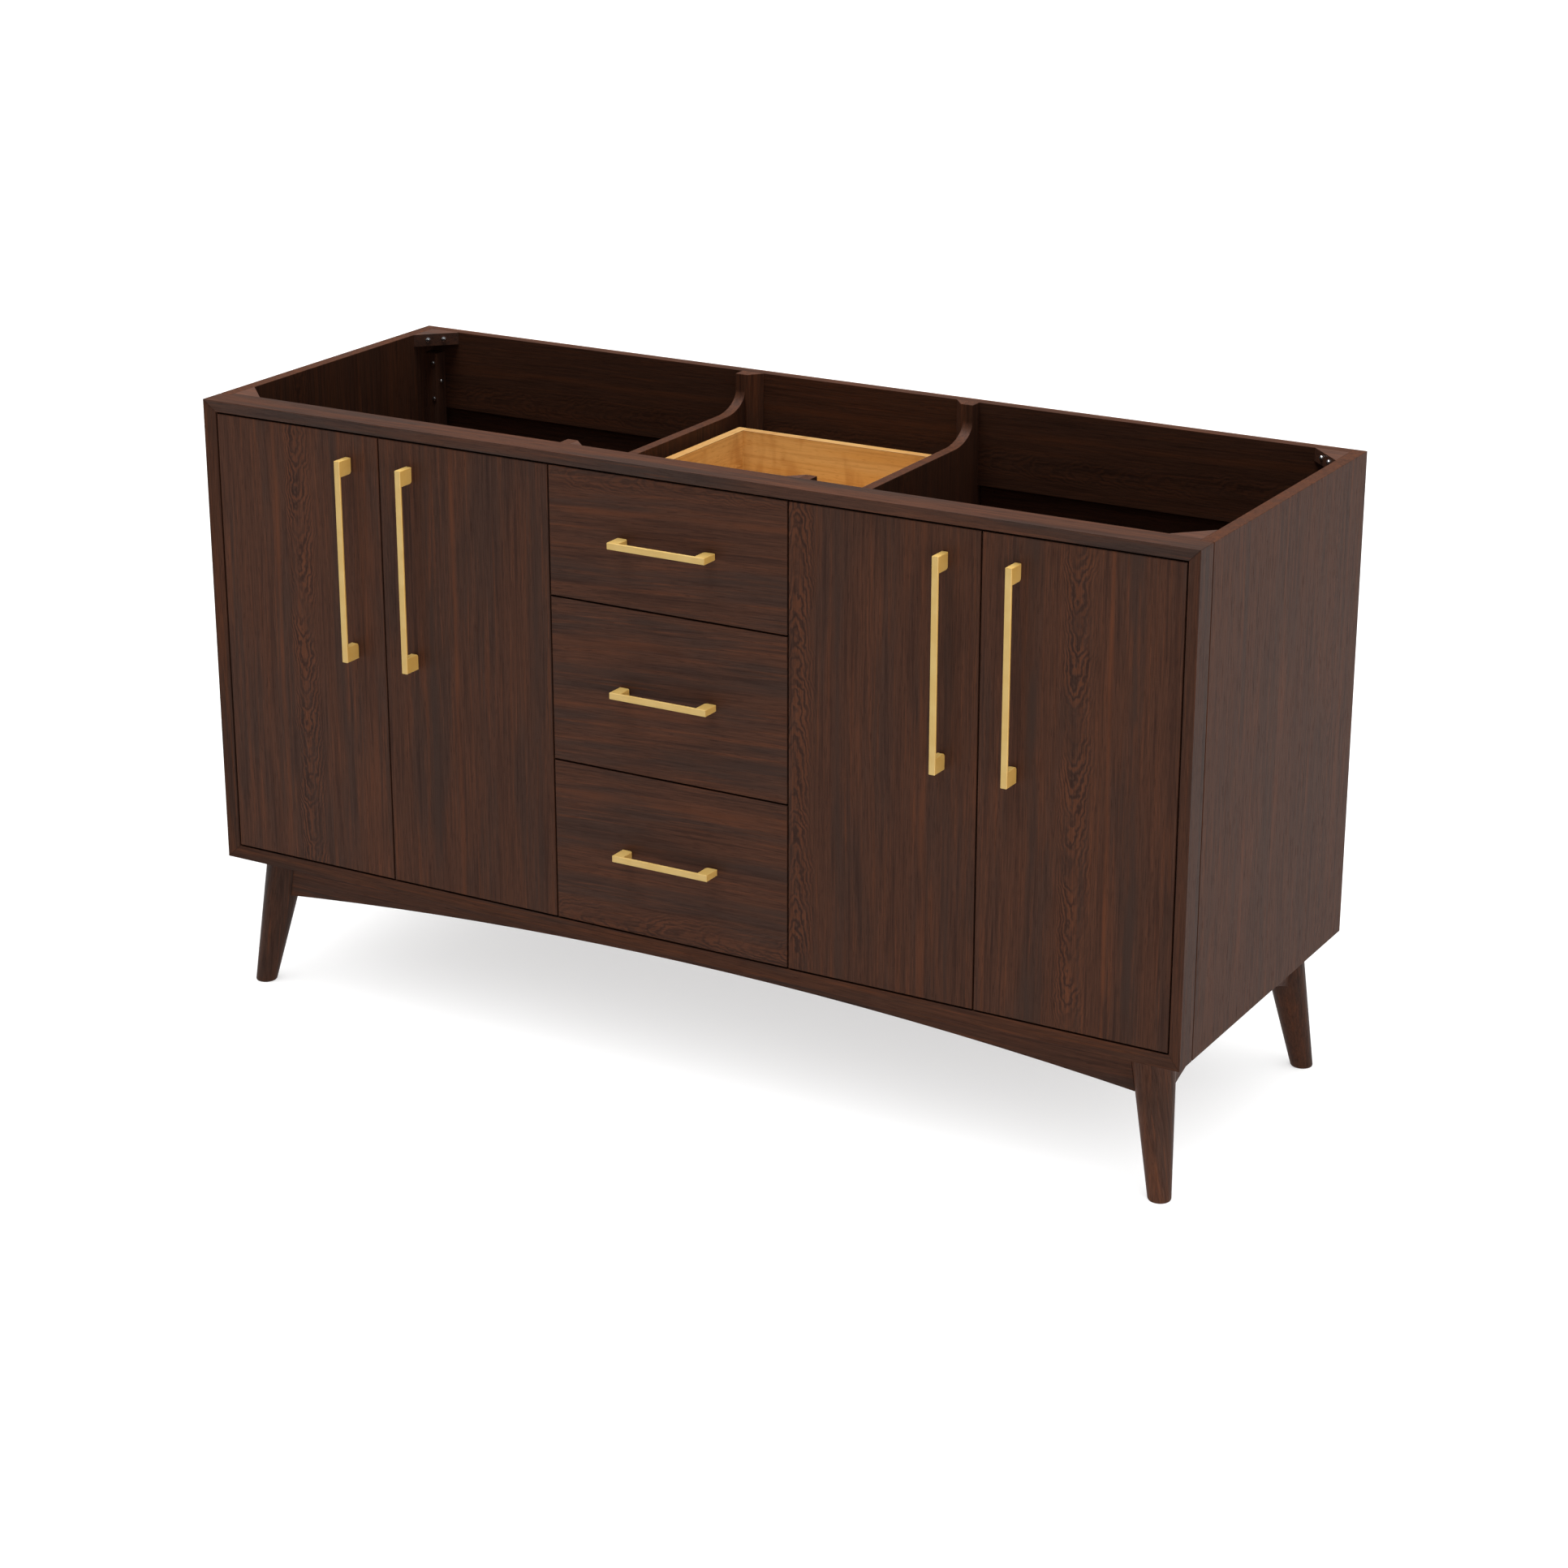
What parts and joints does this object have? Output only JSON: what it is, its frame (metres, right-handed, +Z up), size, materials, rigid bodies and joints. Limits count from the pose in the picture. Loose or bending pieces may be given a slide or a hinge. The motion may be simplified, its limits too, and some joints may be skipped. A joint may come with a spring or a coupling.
{
  "type": "bathroom vanity cabinet",
  "caption": "Wide freestanding double bathroom vanity base without a top, with flat doors beside a bank of drawers, bar pulls and splayed round legs.",
  "frame": {"origin": "centre of the footprint, bar pulls included, at floor level", "axes": "+Z up, +X along the width towards the right of someone facing the doors, +Y from the doors towards the wall"},
  "size_m": [1.524, 0.568, 0.889],
  "materials": {
    "walnut": "satin",
    "maple": "satin",
    "brass": "satin",
    "steel": "satin"
  },
  "bodies": {
    "case": {"apron_front": "walnut", "apron_rear": "walnut", "apron_side_left": "walnut", "apron_side_right": "walnut", "back_panel": "walnut", "back_rail": "walnut", "bottom_panel": "walnut", "corner_block_front_left": "walnut", "corner_block_front_right": "walnut", "corner_block_rear_left": "walnut", "corner_block_rear_right": "walnut", "corner_post_left": "walnut", "corner_post_right": "walnut", "frame_bottom_rail": "walnut", "frame_stile_left": "walnut", "frame_stile_right": "walnut", "frame_top_rail": "walnut", "leg_front_left": "walnut", "leg_front_right": "walnut", "leg_rear_left": "walnut", "leg_rear_right": "walnut", "partition_block_left": "walnut", "partition_block_right": "walnut", "partition_left": "walnut", "partition_post_left": "walnut", "partition_post_right": "walnut", "partition_right": "walnut", "runner_bottom_left": "steel", "runner_bottom_right": "steel", "runner_middle_left": "steel", "runner_middle_right": "steel", "runner_top_left": "steel", "runner_top_right": "steel", "side_panel_left": "walnut", "side_panel_right": "walnut"},
    "door_1_body": {"door_1": "walnut", "door_pull_1": "brass"},
    "door_2_body": {"door_2": "walnut", "door_pull_2": "brass"},
    "door_3_body": {"door_3": "walnut", "door_pull_3": "brass"},
    "door_4_body": {"door_4": "walnut", "door_pull_4": "brass"},
    "drawer_top": {"drawer_front_top": "walnut", "drawer_pull_top": "brass", "drawer_box_top": "maple", "drawer_bottom_top": "maple"},
    "drawer_middle": {"drawer_front_middle": "walnut", "drawer_pull_middle": "brass", "drawer_box_middle": "maple", "drawer_bottom_middle": "maple"},
    "drawer_bottom": {"drawer_front_bottom": "walnut", "drawer_pull_bottom": "brass", "drawer_box_bottom": "maple", "drawer_bottom_bottom": "maple"}
  },
  "joints": [
    {"name": "door_1_hinge", "type": "hinge", "parent": "case", "child": "door_1_body", "pos_m": [-0.732, -0.253, 0.5447], "axis": [0, 0, -1], "range_deg": [0, 105]},
    {"name": "door_2_hinge", "type": "hinge", "parent": "case", "child": "door_2_body", "pos_m": [-0.1963, -0.253, 0.5447], "axis": [0, 0, -1], "range_deg": [-105, 0]},
    {"name": "door_3_hinge", "type": "hinge", "parent": "case", "child": "door_3_body", "pos_m": [0.1963, -0.253, 0.5447], "axis": [0, 0, 1], "range_deg": [-105, 0]},
    {"name": "door_4_hinge", "type": "hinge", "parent": "case", "child": "door_4_body", "pos_m": [0.732, -0.253, 0.5447], "axis": [0, 0, 1], "range_deg": [0, 105]},
    {"name": "drawer_top_slide", "type": "slide", "parent": "case", "child": "drawer_top", "axis": [0, -1, 0], "range_m": [0, 0.38]},
    {"name": "drawer_middle_slide", "type": "slide", "parent": "case", "child": "drawer_middle", "axis": [0, -1, 0], "range_m": [0, 0.38]},
    {"name": "drawer_bottom_slide", "type": "slide", "parent": "case", "child": "drawer_bottom", "axis": [0, -1, 0], "range_m": [0, 0.38]}
  ]
}
